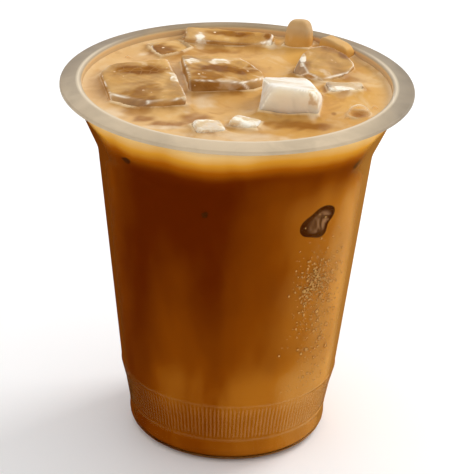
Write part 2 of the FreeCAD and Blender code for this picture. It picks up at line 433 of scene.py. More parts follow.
DROP_RIM_SHADE = (0.32, 0.12, 0.018)
FLOOR_FLECK = (0.90, 0.90, 0.90)
WARM_CLEAR = (1, 0.97, 0.92, 1)
ICE_IOR = 1.31

# The coffee's glow below its level: share of the glow's reach, and colour -----
GLOW = [
    (0.0, (0.92, 0.72, 0.44)),
    (0.18, (0.94, 0.60, 0.22)),
    (0.36, (0.74, 0.33, 0.030)),
    (0.56, (0.40, 0.105, 0.003)),
    (0.85, (0.16, 0.024, 0.0006)),
]


class Finish:
    """A material's node tree, with short calls that add and join nodes."""

    def __init__(self, name):
        self.material = bpy.data.materials.new(name)
        self.material.use_nodes = True
        self.tree = self.material.node_tree
        self.tree.nodes.clear()
        self.output = self.tree.nodes.new("ShaderNodeOutputMaterial")
        self.place = self.add("ShaderNodeTexCoord").outputs["Object"]
        split = self.add("ShaderNodeSeparateXYZ", {0: self.place})
        self.x, self.y, self.z = split.outputs

    def add(self, kind, inputs=None, **settings):
        """A node with its settings, and its inputs joined or set."""
        node = self.tree.nodes.new(kind)
        for key, value in settings.items():
            setattr(node, key, value)
        for key, value in (inputs or {}).items():
            if isinstance(value, bpy.types.NodeSocket):
                self.tree.links.new(value, node.inputs[key])
            else:
                node.inputs[key].default_value = value
        return node

    def maths(self, operation, first, *others):
        """One operation over two or more numbers, from left to right."""
        for other in others:
            first = self.add("ShaderNodeMath", {0: first, 1: other}, operation=operation).outputs[0]
        return first

    def times(self, *values):
        return self.maths("MULTIPLY", *values)

    def plus(self, *values):
        return self.maths("ADD", *values)

    def most(self, *values):
        return self.maths("MAXIMUM", *values)

    def span(self, value, low, high, out_low=0.0, out_high=1.0):
        """value from low to high carried smoothly to out_low to out_high."""
        inputs = {0: value, 1: low, 2: high, 3: out_low, 4: out_high}
        return self.add("ShaderNodeMapRange", inputs, interpolation_type="SMOOTHSTEP").outputs[0]

    def noise(self, scale, detail=3.0, stretch=(1, 1, 1), distortion=0.0):
        """Noise of about 1 / scale metres, stretched along the axes."""
        vector = self.add("ShaderNodeMapping", {0: self.place, 3: stretch}).outputs[0]
        inputs = {"Vector": vector, "Scale": scale, "Detail": detail, "Distortion": distortion}
        return self.add("ShaderNodeTexNoise", inputs).outputs[0]

    def mark(self, name):
        """A number stored on the mesh's points."""
        return self.add("ShaderNodeAttribute", attribute_name=name).outputs["Fac"]

    def cells(self, scale, feature="F1"):
        """Distance in a pattern of cells of about 1 / scale metres."""
        inputs = {"Vector": self.place, "Scale": scale}
        return self.add("ShaderNodeTexVoronoi", inputs, feature=feature).outputs[0]

    def ramp(self, value, stops):
        """Colours (linear) at positions along value."""
        node = self.add("ShaderNodeValToRGB", {0: value})
        elements = node.color_ramp.elements
        while len(elements) < len(stops):
            elements.new(0.5)
        for element, (position, colour) in zip(elements, stops):
            element.position = position
            element.color = (*colour, 1)
        return node.outputs[0]

    def blend(self, share, a, b):
        """Colour a where share is 0, and b where it is 1."""
        a, b = ((*c, 1) if isinstance(c, (tuple, list)) and len(c) == 3 else c for c in (a, b))
        return self.add("ShaderNodeMix", {0: share, 6: a, 7: b}, data_type="RGBA").outputs[2]

    def bump(self, height, distance):
        return self.add("ShaderNodeBump", {"Height": height, "Distance": distance}).outputs[0]

    def facing(self, blend=0.5):
        """0 where the surface faces the eye and 1 where it turns away."""
        return self.add("ShaderNodeLayerWeight", {"Blend": blend}).outputs["Facing"]

    def skin(self, colour, roughness, specular, more=None):
        """A solid surface; more holds further sockets of the shader by name."""
        inputs = {"Base Color": colour, "Roughness": roughness, "Specular IOR Level": specular}
        return self.add("ShaderNodeBsdfPrincipled", {**inputs, **(more or {})}).outputs[0]

    def clear(self, colour=(1, 1, 1, 1)):
        return self.add("ShaderNodeBsdfTransparent", {0: colour}).outputs[0]

    def mixed(self, share, a, b):
        """Shader a where share is 0, and b where it is 1."""
        return self.add("ShaderNodeMixShader", {0: share, 1: a, 2: b}).outputs[0]

    def done(self, shader):
        """The finished material, with the shader as its surface."""
        self.tree.links.new(shader, self.output.inputs["Surface"])
        return self.material


def plain(rgb):
    """A colour property as a plain tuple."""
    return tuple(rgb[:3])


def flange_colour(finish, settings):
    """The hazy flange: palest in front, painted light that comes through it,
    darker at the right and the back, painted shade, with faint streaks, and
    with a painted glare along its lip."""
    streak = finish.span(finish.noise(90, 4, (1, 1, 0.4), 0.5), 0.35, 0.65, 0.86, 1.06)
    # Paler at the front: painted light that comes through the flange.
    front = finish.span(finish.y, *FLANGE_FRONT)
    cream = finish.blend(front, plain(settings.haze_side), plain(settings.haze_front_painted_light))
    # Darker at the right and at the back: painted shade.
    right = finish.span(finish.x, *FLANGE_RIGHT, 0.0, 0.8)
    cream = finish.blend(right, cream, plain(settings.haze_right_painted_shade))
    back = finish.span(finish.y, *FLANGE_BACK, 0.0, 0.75)
    cream = finish.blend(back, cream, plain(settings.haze_back_painted_shade))
    cream = finish.add("ShaderNodeVectorMath", {0: cream, 1: streak}, operation="MULTIPLY").outputs[0]
    # A painted glare along the lip.
    lip = finish.times(finish.mark("lip"), finish.span(finish.y, *LIP_BACK, 1.0, 0.1))
    return finish.blend(lip, cream, LIP_GLARE)


def clear_plastic(settings):
    """Thin plastic: see-through, milky at the beads, the ribs and the
    flange, filmed with coffee inside the lip, a film painted paler to cancel
    the shade there, fogged with fine condensation at the right, and brown at
    its base. Below the level its outline has the coffee's colour, which a
    real wall bends there."""
    finish = Finish("clear_plastic")
    wet = finish.span(finish.noise(70, 5, (1, 1, 0.7), 0.4), 0.32, 0.72)
    fog = finish.times(wet, finish.span(finish.x, *FOG_ACROSS), finish.span(finish.z, *FOG_DOWN))
    fog = finish.times(fog, settings.fog)
    thick = finish.times(finish.mark("thick"), settings.thick_haze)
    flange = finish.span(finish.z, *FLANGE_UP, 0.0, settings.flange_haze)
    film = finish.times(finish.mark("film"), 0.95)
    base = finish.span(finish.z, *BASE_DOWN, 0.0, 0.85)
    haze = finish.most(finish.plus(fog, thick, flange), film)
    haze = finish.most(finish.maths("MINIMUM", haze, 1.0), base)
    high = finish.span(finish.z, *NECK_TO_FLANGE)
    colour = finish.blend(high, plain(settings.fog_colour), flange_colour(finish, settings))
    raised = finish.blend(finish.span(finish.x, *RIBS_ACROSS), RIBS_LEFT, RIBS_RIGHT)
    colour = finish.blend(finish.mark("thick"), colour, raised)
    # The coffee film inside the lip, painted paler to cancel its shade: painted light.
    colour = finish.blend(film, colour, LIP_FILM_PAINTED_LIGHT)
    colour = finish.blend(base, colour, CUP_BASE)
    body = finish.mixed(haze, finish.clear(), finish.skin(colour, 0.5, 0.1))
    ripple = finish.bump(finish.noise(220, 2, (1, 1, 0.3)), PLASTIC_RIPPLE)
    gloss = finish.add("ShaderNodeBsdfGlossy", {"Roughness": 0.16, "Normal": ripple}).outputs[0]
    edge = finish.add("ShaderNodeFresnel", {"IOR": 1.10, "Normal": ripple}).outputs[0]
    glazed = finish.mixed(finish.times(edge, 0.06), body, gloss)
    rim = finish.span(finish.facing(), 0.64, 0.82)
    rim = finish.times(rim, finish.span(finish.z, *OUTLINE_DOWN))
    right = finish.span(finish.x, *OUTLINE_ACROSS)
    bent = finish.blend(right, plain(settings.rim_left), plain(settings.rim_right))
    return finish.done(finish.mixed(rim, glazed, finish.skin(bent, 0.6, 0.0)))


def coffee_side(settings):
    """Milk coffee seen through the wall. Its paleness is a sum of shares:
    more to the right, partly painted light from the lit side and partly more
    milk, but less just below the level, painted shade under the glow; a little
    at the far left, more towards the foot, a band of milk near the foot, and
    clouds. Just below the level a painted glow stands for light from above
    that gets in."""
    finish = Finish("coffee_side")
    cloud = finish.noise(26, 4, (1, 1, 0.35), 0.7)
    grain = finish.noise(120, 4, (1, 1, 0.4), 0.5)
    # Paler to the right: partly painted light from the lit side, partly more milk; kept down just below
    # the level, painted shade under the glow.
    right = finish.span(finish.x, *PALER_RIGHT, 0.0, 0.80)
    right = finish.times(right, finish.span(finish.z, *BELOW_GLOW, 0.25, 1.0))
    left = finish.span(finish.x, *PALER_LEFT, 0.0, 0.34)
    low = finish.times(
        finish.span(finish.z, *PALER_BELOW),
        finish.span(finish.x, *BELOW_FROM_LEFT, 0.06, 0.34),
        finish.span(finish.x, *BELOW_TO_RIGHT, 1.0, 0.50),
    )
    milk = finish.times(
        finish.span(finish.z, *MILK_TOP),
        finish.span(finish.z, *MILK_FOOT),
        finish.span(cloud, 0.40, 0.56, 0.0, 0.13),
    )
    clouds = finish.span(cloud, 0.3, 0.7, -0.08, 0.08)
    grains = finish.span(grain, 0.3, 0.7, -0.04, 0.04)
    body = finish.ramp(finish.plus(right, left, low, milk, clouds, grains), [
        (0.03, plain(settings.dark)),
        (0.33, plain(settings.brown)),
        (0.64, plain(settings.caramel)),
        (1.0, plain(settings.tan)),
    ])
    # The glow just below the level is painted light.
    uneven = finish.span(finish.noise(34, 3, (1, 1, 0.3)), 0.3, 0.7, -GLOW_UNEVEN, GLOW_UNEVEN)
    depth = finish.plus(finish.maths("SUBTRACT", LEVEL_Z, finish.z), uneven)
    reach = finish.span(finish.x, *GLOW_RIGHT, GLOW_REACH, GLOW_REACH + GLOW_MORE_RIGHT)
    reach = finish.plus(reach, finish.span(finish.x, *GLOW_LEFT, 0.0, GLOW_MORE_LEFT))
    glow = finish.ramp(finish.maths("DIVIDE", depth, reach), GLOW)
    colour = finish.blend(finish.span(depth, *GLOW_DOWN), body, glow)
    return finish.done(finish.skin(colour, 0.6, 0.0))


def surface_colour(finish, settings):
    """Colour of milk coffee as it lies open: paler at the left, with pale
    swirls, darker pools, painted shade in the patches marked dark, and milky
    patches and painted highlights in those marked pale."""
    swirl = finish.noise(80, 5, distortion=1.6)
    broad = finish.noise(34, 2, distortion=0.5)
    right = finish.span(finish.x, *SURFACE_ACROSS)
    colour = finish.blend(right, plain(settings.surface_pale), plain(settings.surface))
    colour = finish.blend(finish.span(swirl, 0.52, 0.70, 0.0, 0.5), colour, plain(settings.foam))
    colour = finish.blend(finish.span(swirl, 0.46, 0.32, 0.0, 0.6), colour, SWIRL_DEEP)
    colour = finish.blend(finish.span(broad, 0.52, 0.64, 0.0, 0.45), colour, POOL)
    # Painted shade where marked dark.
    dark = finish.times(finish.mark("dark"), finish.span(swirl, 0.34, 0.66, 1.0, 0.70))
    colour = finish.blend(dark, colour, plain(settings.recess))
    # Milky patches and painted highlights where marked pale.
    pale = finish.times(finish.mark("pale"), finish.span(swirl, 0.36, 0.62, 0.45, 0.95))
    return finish.blend(pale, colour, MILK_AND_HIGHLIGHT_COLOUR)


def coffee_top(settings):
    """The open surface: darker close to the ice, painted shade, with a broken
    pale line where it meets the ice, a painted highlight, and foamy at the
    wall."""
    finish = Finish("coffee_top")
    swirl = finish.noise(120, 4, distortion=1.0)
    # Painted shade near the ice and in the bubble's dent.
    shade_near_ice = finish.times(finish.mark("ice_and_dent_shade"), finish.span(swirl, 0.38, 0.60, 0.60, 0.10))
    colour = finish.blend(shade_near_ice, surface_colour(finish, settings), plain(settings.recess))
    # A broken pale line at the ice and on the ring's ridge: painted highlight.
    line = finish.times(finish.mark("line"), finish.span(swirl, 0.36, 0.54, 0.1, 0.8))
    colour = finish.blend(line, colour, WATERLINE_HIGHLIGHT)
    foam = finish.times(finish.mark("by_wall"), finish.span(swirl, 0.38, 0.6, 0.45, 1.0))
    colour = finish.blend(foam, colour, plain(settings.foam))
    ripple = finish.bump(finish.noise(260, 3), COFFEE_RIPPLE)
    return finish.done(finish.skin(colour, 0.30, 0.05, {"Normal": ripple}))


def ice_inside(finish, shade, settings):
    """The brown inside of a lump, darkest where marked dark, which is painted
    shade, with a faint crackle of pale lines."""
    # Darker where marked dark: painted shade.
    deeper = finish.times(finish.mark("dark"), -0.14)
    colour = finish.ramp(finish.plus(shade, deeper), [
        (0.34, plain(settings.inside)),
        (0.50, plain(settings.amber)),
        (0.68, ICE_INSIDE_LIGHT),
    ])
    crackle = finish.span(finish.cells(420, "DISTANCE_TO_EDGE"), 0.09, 0.03)
    crackle = finish.times(crackle, finish.span(finish.noise(95, 2), 0.50, 0.60, 0.0, 0.16))
    return finish.blend(crackle, colour, ICE_CRACK)


def inside_share(finish, milkiness):
    """How far the dark inside of a lump shows, which paints shade: most where
    marked dark, less on the sides, least just above the coffee, and not at
    all in cloudy ice."""
    soft = finish.noise(90, 2, distortion=0.6)
    # More of the dark inside on the sides: painted shade.
    side = finish.times(finish.mark("side"), finish.span(soft, 0.3, 0.7, 0.70, 0.20))
    side = finish.times(side, finish.span(finish.z, *ICE_DRY, 0.25, 1.0))
    dark = finish.times(finish.mark("dark"), finish.span(finish.mark("side"), 0.0, 1.0, 1.0, 0.45))
    inner = finish.most(side, dark, finish.span(soft, 0.36, 0.62, 0.08, 0.50))
    return finish.times(inner, max(0.0, 1 - milkiness * 1.15))


def cloudy_colour(finish, settings):
    """White, cloudy ice: streaked on top, and even and paler on its sides,
    painted light that comes through the ice.
    """
    top = finish.ramp(finish.noise(120, 3, (0.30, 1.6, 0.8), 0.4), [
        (0.40, plain(settings.milk)),
        (0.54, CLOUD_MIDDLE),
        (0.62, CLOUD_STREAK),
    ])
    # Paler sides: painted light.
    return finish.blend(finish.mark("side"), top, plain(settings.cloud))


def wet_ice(name, lump, liquid, settings):
    """Ice that milk coffee has run over: brown where its inside shows, white
    where it is cloudy, and the coffee's own colour elsewhere. Over that lie
    the tones of its chips, bright patches and broken pale edges, both painted
    highlights, and sparkling points, painted glints. A small share of it is
    clear."""
    finish = Finish(name)
    shade = finish.noise(150, 3, (0.7, 1.2, 1), 1.0)
    inner = inside_share(finish, lump.milkiness)
    colour = finish.blend(inner, surface_colour(finish, liquid), ice_inside(finish, shade, settings))
    cloudy = finish.times(finish.span(finish.z, *CLOUDY_DRY, 0.70, 1.0), lump.milkiness)
    colour = finish.blend(cloudy, colour, cloudy_colour(finish, settings))
    colour = finish.blend(finish.times(finish.mark("facet"), 0.40), colour, plain(settings.milk))
    # Bright patches on the wet faces: painted highlights.
    glint = finish.plus(finish.mark("pale"), finish.span(shade, 0.3, 0.7, -0.6, 0.6))
    glint = finish.span(glint, 0.45, 0.85, 0.0, 0.9)
    broken = finish.span(finish.noise(330, 3), 0.42, 0.60)
    shine = finish.blend(broken, plain(settings.glint), plain(settings.cloud))
    colour = finish.blend(glint, colour, shine)
    # Pale lines along the edges, broken by noise: painted highlights.
    edge = finish.times(finish.mark("edge"), finish.span(finish.noise(150, 2), 0.44, 0.54, 0.15, 1.0))
    colour = finish.blend(edge, colour, plain(settings.cloud))
    # Sparkling points: painted glints.
    sparkle = finish.times(
        finish.span(finish.cells(340), 0.14, 0.10),
        finish.span(finish.noise(120, 1), 0.50, 0.54),
        finish.span(inner, 0.3, 0.7),
    )
    colour = finish.blend(sparkle, colour, ICE_SPARKLE)
    relief = finish.bump(finish.noise(420, 3), ICE_RELIEF)
    skin = finish.skin(colour, 0.22, 0.0, {
        "Subsurface Weight": 0.2 + 0.8 * lump.milkiness,
        "Subsurface Radius": (1.0, 1.0, 1.0),
        "Subsurface Scale": (0.6 + 4.0 * lump.milkiness) * MM,
        "Normal": relief,
    })
    tint = np.array(settings.tint) * (1 - lump.milkiness) + np.array(settings.cloud) * lump.milkiness
    clear = {"IOR": ICE_IOR, "Transmission Weight": 1.0, "Normal": relief}
    glass = finish.skin((*tint, 1), 0.05, 0.10, clear)
    window = finish.span(shade, 0.40, 0.60, lump.clearness * 1.2, lump.clearness * 0.5)
    solid = finish.most(edge, glint, sparkle)
    window = finish.times(window, finish.span(solid, 0.0, 0.6, 1.0, 0.1))
    return finish.done(finish.mixed(window, skin, glass))


def coated_ice(liquid, settings):
    """Ice wetted with milk coffee: greyish tan at its top, and the coffee's
    own colour lower down."""
    finish = Finish("coated_ice")
    top = finish.ramp(finish.noise(130, 4), [(0.35, COAT_DARK), (0.65, plain(settings.coat))])
    # Paler edges: painted highlights.
    top = finish.blend(finish.times(finish.mark("edge"), 0.30), top, COAT_EDGE_HIGHLIGHT)
    colour = finish.blend(finish.span(finish.z, *COAT_DOWN), top, surface_colour(finish, liquid))
    relief = finish.bump(finish.noise(380, 3), COAT_RELIEF)
    return finish.done(finish.skin(colour, 0.45, 0.08, {"Normal": relief}))


def dark_ice():
    """Sunk ice against the wall: dark coffee at its rim, paler inside."""
    finish = Finish("sunk_ice")
    inner = finish.span(finish.noise(170, 3, distortion=0.8), 0.40, 0.58, 0.10, 1.0)
    inner = finish.times(inner, finish.span(finish.mark("inner"), 0.22, 0.6))
    return finish.done(finish.skin(finish.blend(inner, SUNK_RIM, SUNK_MIDDLE), 0.5, 0.0))


def bubble_film():
    """The thin skin of a bubble: see-through in the middle, pale where it
    turns away."""
    finish = Finish("bubble_film")
    share = finish.span(finish.facing(), 0.30, 0.85, 0.06, 1.0)
    share = finish.times(share, finish.span(finish.noise(300, 2), 0.35, 0.6, 0.6, 1.0))
    return finish.done(finish.mixed(share, finish.clear(WARM_CLEAR), finish.skin(BUBBLE_SKIN, 0.2, 0.3)))


def water():
    """Water drops on the cold wall: they let the coffee's colour through, paler
    in the middle, partly a painted highlight, with a soft glint and a darker
    rim, painted shade."""
    finish = Finish("water")
    # Pale middle and dark rim by facing: painted highlight and painted shade.
    colour = finish.ramp(finish.facing(0.35), [(0.10, DROP_MIDDLE_HIGHLIGHT), (0.60, DROP_RIM_SHADE)])
    veil = finish.span(finish.noise(300, 2), 0.3, 0.7, 0.35, 0.6)
    return finish.done(finish.mixed(veil, finish.clear(WARM_CLEAR), finish.skin(colour, 0.25, 0.02)))


def pale_floor(settings):
    """A plain pale table top."""
    finish = Finish("pale_floor")
    fleck = finish.span(finish.noise(40, 2), 0.3, 0.7, 0.97, 1.0)
    return finish.done(finish.skin(finish.blend(fleck, FLOOR_FLECK, plain(settings.floor)), 0.8, 0.1))


# === settings =================================================================

def size(name, description, default):
    """A length that can be set, in metres."""
    return FloatProperty(name=name, description=description, default=default, unit="LENGTH")


def share(name, description, default):
    """A share from 0 to 1 that can be set."""
    return FloatProperty(
        name=name, description=description, default=default, min=0, max=1, subtype="FACTOR"
    )


def colour(name, description, default):
    """A colour that can be set, as linear red, green and blue."""
    return FloatVectorProperty(
        name=name, description=description, default=default, subtype="COLOR", size=3, min=0, max=1
    )


class CupSettings(bpy.types.PropertyGroup):
    """Sizes and finish of the cup."""

    ribs: IntProperty(name="Ribs", description="Upright ribs round the lower band", default=168)
    rib_depth: size("Rib depth", "Height of a rib above the band", 0.22 * MM)
    fog: share("Condensation", "Fog where the wall is wettest", 0.30)
    fog_colour: colour("Fog", "Colour of the fogged wall", (0.60, 0.29, 0.055))
    thick_haze: share("Bead haze", "Milkiness of the beads and the ribs", 0.26)
    flange_haze: share("Flange haze", "Milkiness of the thick flange", 0.90)
    rim_left: colour("Outline, left", "Coffee that the wall bends to its outline", (0.165, 0.040, 0.003))
    rim_right: colour("Outline, right", "The same where the wall is fogged", (0.33, 0.14, 0.025))
    haze_side: colour("Flange, side", "Flange at the left and right", (0.32, 0.245, 0.165))
    # Flange colours: the right and back ones are painted shade, the front one is painted light.
    haze_right_painted_shade: colour("Flange, right", "Flange nearest the main lamp", (0.255, 0.205, 0.145))
    haze_front_painted_light: colour("Flange, front", "Flange at the front", (0.64, 0.51, 0.35))
    haze_back_painted_shade: colour("Flange, back", "Flange at the back", (0.30, 0.20, 0.09))


class CoffeeSettings(bpy.types.PropertyGroup):
    """Colours of the coffee."""

    surface: colour("Surface", "Open surface at the right", (0.66, 0.355, 0.085))
    surface_pale: colour("Surface, pale", "Open surface at the left", (0.72, 0.435, 0.165))
    foam: colour("Foam", "Foam and pale swirls", (0.78, 0.56, 0.30))
    # Recess: painted shade, near the ice and in the patches marked dark.
    recess: colour("Recess", "Surface close to the ice", (0.30, 0.11, 0.012))
    dark: colour("Dark", "Deep coffee with little milk", (0.110, 0.0135, 0.0003))
    brown: colour("Brown", "Coffee below the middle", (0.24, 0.053, 0.0012))
    # Caramel and tan are also reached at the right, where the paleness is partly painted light.
    caramel: colour("Caramel", "Coffee with more milk", (0.45, 0.150, 0.011))
    tan: colour("Tan", "Palest coffee", (0.72, 0.36, 0.085))


class IceSettings(bpy.types.PropertyGroup):
    """Look of the ice."""

    tint: colour("Clear ice", "Tint of light through the ice", (0.88, 0.62, 0.28))
    inside: colour("Inside", "Darkest coffee seen in the ice", (0.235, 0.078, 0.007))
    amber: colour("Amber", "Coffee seen through clearer ice", (0.33, 0.135, 0.020))
    milk: colour("Milk", "Darker streaks in cloudy ice", (0.68, 0.55, 0.39))
    # Cloud is also the colour of the painted highlights on the edges and of the painted light on the
    # sides of cloudy ice.
    cloud: colour("Cloud", "Pale edges and cloudy patches", (0.95, 0.87, 0.72))
    # Glint: the colour of painted highlights.
    glint: colour("Glint", "Bright patches on the wet faces", (0.66, 0.48, 0.28))
    coat: colour("Coating", "Thick coat on the tall lumps", (0.60, 0.38, 0.17))


class DropSettings(bpy.types.PropertyGroup):
    """Condensation on the cup."""

    count: IntProperty(name="Drops", description="Number of fine drops", default=760)
    largest: size("Largest drop", "Radius of the largest drops", 0.80 * MM)


class StageSettings(bpy.types.PropertyGroup):
    """Floor and lights."""

    floor: colour("Floor", "Table top", (0.97, 0.97, 0.97))
    world: FloatProperty(name="Sky", description="Strength of the even light", default=0.85)
    key: FloatProperty(name="Key", description="Power of the main lamp", default=2.2, unit="POWER")
    rear: FloatProperty(name="Rear", description="Power of the lamp behind", default=0.22, unit="POWER")


# === pieces ===================================================================

def finished(piece, slot, *nodes):
    """Rides a piece on the one body, and hides the parts of the frame that it
    stands for. The slot is not used.
    """
    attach(piece, BODY)
    if nodes:
        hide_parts(*nodes)


def cup_section():
    """Closed section of the cup from the middle of its underside, out and up
    to the flange, and back down inside, with soft corners."""
    ring_in = FOOT_RADIUS - FOOT_RING_WIDTH
    recess = ring_in - RECESS_RUN
    underside = FLANGE_Z - FLANGE_THICKNESS
    beads = [(wall_radius(z), z) for z in BAND_STATIONS]
    side = sorted(side_line(0) + beads, key=lambda point: point[1])
    outside = [(0, FOOT_RECESS), (recess, FOOT_RECESS), (ring_in, 0)] + heel_line(0, 0) + side
    flange = [
        (NECK_RADIUS, underside),
        (FLANGE_RADIUS, underside),
        (FLANGE_RADIUS, FLANGE_Z),
        (CREST_RADIUS, CREST_Z),
        (NECK_RADIUS - WALL, CREST_Z - FLANGE_THICKNESS / 2),
    ]
    inside = side_line(WALL)[::-1] + heel_line(WALL, FLOOR)[::-1]
    inside += [(ring_in, FLOOR), (recess, FOOT_RECESS + FLOOR), (0, FOOT_RECESS + FLOOR)]
    band_rounds = [SHARP] * (len(side) - 2) + SIDE_ROUNDS[-2:]
    reach = FOOT_ROUNDS + HEEL_ROUNDS + band_rounds + FLANGE_ROUNDS
    reach += SIDE_ROUNDS[::-1] + HEEL_ROUNDS + FOOT_ROUNDS[::-1]
    return merged(rounded(outside + flange + inside, reach), SECTION_STEP)


def make_cup(settings):
    """The cup: its section turned round the axis. On the outer face of the
    lower band the radius gains the rib depth times a rounded square wave of
    the angle, tanh(k sin(n angle)) / tanh(k), and a bead stands above and
    below the ribs as a bell curve of the height. Marks say where the wall is
    thick, where coffee films its inside and where its lip is."""
    section = cup_section()
    grid = turned(section, settings.ribs * 4)
    radius = np.linalg.norm(grid[..., :2], axis=-1)
    angle = np.arctan2(grid[..., 1], grid[..., 0])
    height = grid[..., 2]
    outer = radius > wall_radius(height, WALL / 2)
    window = smooth_step(height, RIB_FOOT_Z, RIB_FOOT_Z + RIB_TAPER)
    window *= 1 - smooth_step(height, RIB_TOP_Z - RIB_TAPER, RIB_TOP_Z)
    swing = RIB_SQUARENESS * np.sin(settings.ribs * angle + RIB_PHASE)
    wave = 0.5 + 0.5 * np.tanh(swing) / np.tanh(RIB_SQUARENESS)
    bead = sum(np.exp(-(((height - z) / BEAD_WIDTH) ** 2)) for z in BEAD_HEIGHTS)
    gain = settings.rib_depth * (window * wave) + BEAD_RELIEF * bead
    gain = np.where(outer, gain, 0) / np.maximum(radius, MM)
    grid[..., :2] *= 1 + gain[..., None]
    thick = np.where(outer, np.clip(window * wave * RIB_HAZE + bead * BEAD_HAZE, 0, 1), 0)
    inner = radius < wall_radius(height, WALL / 2) + 0.2 * MM
    film = inner * smooth_step(height, LEVEL_Z - 0.5 * MM, LEVEL_Z + 0.3 * MM)
    film *= 1 - smooth_step(height, CREST_Z - 0.7 * MM, CREST_Z - 0.2 * MM)
    # lip: where the painted glare along the crest goes.
    lip = np.exp(-(((radius - CREST_RADIUS) / (0.55 * MM)) ** 2)) * (height > FLANGE_Z)
    points, quads, triangles = closed_grid(grid)
    marks = {"thick": grid_values(thick), "film": grid_values(film), "lip": grid_values(lip)}
    cup = mesh_object("cup_wall", points, quads, triangles, **marks)
    cup.data.materials.append(clear_plastic(settings))
    finished(cup, "cup", "cup")


def turn_matrix(yaw, lean_x, lean_y):
    """Rotation by lean_x about X, then lean_y about Y, then yaw about Z."""
    yaw, lean_x, lean_y = (math.radians(v) for v in (yaw, lean_x, lean_y))
    about_x = Matrix.Rotation(lean_x, 3, "X")
    about_y = Matrix.Rotation(lean_y, 3, "Y")
    return np.array(Matrix.Rotation(yaw, 3, "Z") @ about_y @ about_x)


def ice_planes(name):
    """Outward normals and distances from the centre of the planes that bound
    a lump: a block's six faces, sides tilted for its narrower foot, and
    chips that cut random corners at part of their reach."""
    lump = ICE[name]
    half = np.array(lump.size) * MM / 2
    faces = np.array([[1, 0, 0], [-1, 0, 0], [0, 1, 0], [0, -1, 0], [0, 0, 1], [0, 0, -1]], float)
    sides = np.array([half[0], half[0], half[1], half[1]])
    faces[:4, 2] -= sides * (1 - lump.foot) / (2 * half[2])
    away = np.concatenate([sides * (1 + lump.foot) / 2, [half[2], half[2]]])
    rng = np.random.default_rng(lump.seed)
    signs = rng.choice([-1.0, 1.0], size=(lump.chips, 3))
    cuts = signs * rng.uniform(*CHIP_TILT, size=(lump.chips, 3))
    corner = np.abs(cuts) @ half
    normals = np.concatenate([faces, cuts])
    distance = np.concatenate([away, corner * rng.uniform(*CHIP_DISTANCE, lump.chips)])
    scale = np.linalg.norm(normals, axis=1)
    return (normals / scale[:, None]) @ turn_matrix(*lump.turns).T, distance / scale


def ice_centre(name):
    """Middle of a lump's box in the frame."""
    low, high = (np.array(corner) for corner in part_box(name))
    return (low + high) / 2


def ice_grid(name, rows=104, columns=160):
    """Surface of a lump: in each direction d from its centre the distance is
    (sum over planes of max(0, n.d / h) ** p) ** (-1 / p), which is the body
    that the planes bound with its edges rounded, and sharper the larger p;
    two random reliefs then melt its faces, and a point that would come
    through the wall is pressed in. Also numbers for each point: how near it
    is to an edge, the tone of its chip, whether it is on a side, and the
    dark and pale patches."""
    normals, distance = ice_planes(name)
    sharpness, seed = ICE[name].sharpness, ICE[name].seed
    polar = np.linspace(np.pi, 0, rows)[:, None]
    angle = np.linspace(0, 2 * np.pi, columns, endpoint=False)[None, :]
    direction = np.stack([
        np.sin(polar) * np.cos(angle),
        np.sin(polar) * np.sin(angle),
        np.broadcast_to(np.cos(polar), (rows, columns)),
    ], -1)
    facing = np.maximum(direction @ (normals / distance[:, None]).T, 0)
    reach = (facing**sharpness).sum(-1) ** (-1 / sharpness)
    points = direction * reach[..., None]
    hold = facing ** (sharpness * 2.2)
    hold /= hold.sum(-1)[..., None]
    sharp = facing ** (sharpness * 3)
    sharp /= sharp.sum(-1)[..., None]
    edge = np.clip(2.2 * (1 - sharp.max(-1)), 0, 1) ** 1.4
    tones = np.random.default_rng(seed + 90).uniform(0, 1, len(normals))
    tones[:6] = 0.0
    side = hold[..., :4].sum(-1)
    melt = BROAD_MELT * waves(points, 7 * MM, seed)
    melt += FINE_MELT * waves(points, 2.8 * MM, seed + 50)
    points = ice_centre(name) + points + direction * melt[..., None] * MM
    plan = np.linalg.norm(points[..., :2], axis=-1)
    room = wall_radius(np.minimum(points[..., 2], NECK_Z), WALL + ICE_WALL_GAP)
    points[..., :2] *= np.minimum(1, room / np.maximum(plan, MM))[..., None]
    marks = {
        "edge": edge,
        "facet": (hold * tones).sum(-1),
        "side": side,
        # dark: painted shade; pale: painted highlights and milky patches.
        "dark": patch_share(points, PAINTED_SHADE_PATCHES, DARK_SEED),
        "pale": patch_share(points, MILK_AND_HIGHLIGHT_PATCHES, PALE_SEED),
    }
    return points, {name: grid_values(values) for name, values in marks.items()}


def make_ice(liquid, settings):
    """Each lump of ice, in its own place."""
    coated = coated_ice(liquid, settings)
    for name in ICE:
        grid, marks = ice_grid(name)
        points, quads, triangles = closed_grid(grid)
        lump = mesh_object(name + "_lump", points, quads, triangles, **marks)
        if name in COATED_ICE:
            lump.data.materials.append(coated)
            finished(lump, "coated_ice", name)
        else:
            lump.data.materials.append(wet_ice(name + "_wet", ICE[name], liquid, settings))
            finished(lump, "ice", name)


